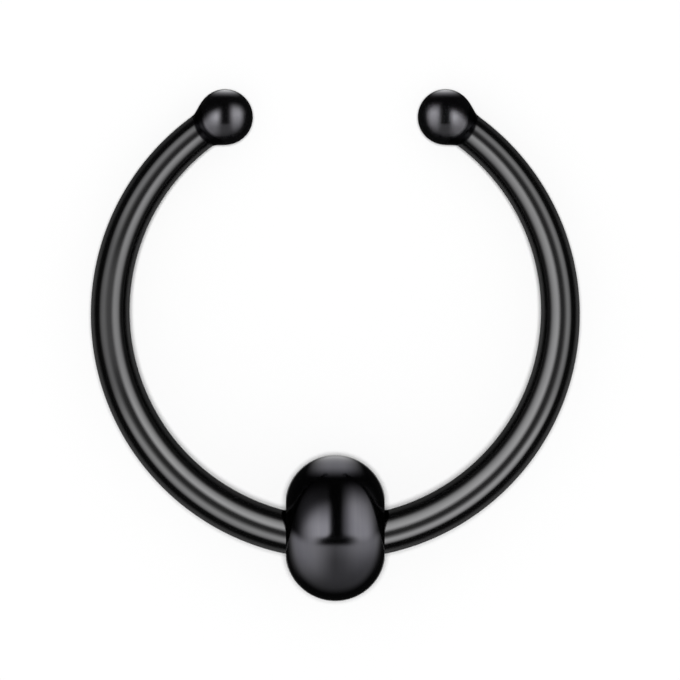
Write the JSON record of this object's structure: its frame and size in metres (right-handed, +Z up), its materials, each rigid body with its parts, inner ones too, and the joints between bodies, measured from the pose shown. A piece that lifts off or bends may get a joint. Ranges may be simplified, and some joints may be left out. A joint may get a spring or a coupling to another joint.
{
  "type": "clip-on nose ring",
  "caption": "Open round-wire hoop that clips on without a piercing, with soldered ball tips and a loose round-rimmed bead threaded opposite the opening.",
  "frame": {"origin": "middle of the footprint, on the surface that the ring lies on", "axes": "+Z up, +Y out of the opening between the ball tips, +X to the right; the hoop's plane tips up by 6.3 degrees towards the bead, because the bead is fatter than the balls"},
  "size_m": [0.0122, 0.0128, 0.0036],
  "materials": {
    "hoop_black": "polished black plating on steel",
    "bead_black": "polished black plating on steel, a little cooler than the hoop"
  },
  "bodies": {
    "hoop": {"wire_hoop": "hoop_black"},
    "bead": {"centre_bead": "bead_black"}
  },
  "joints": [
    {"name": "bead_slide", "type": "hinge", "parent": "hoop", "child": "bead", "pos_m": [0, 0.00081, 0.00123], "axis": [0, 0.11, 0.9939], "range_deg": [-130, 130]}
  ]
}
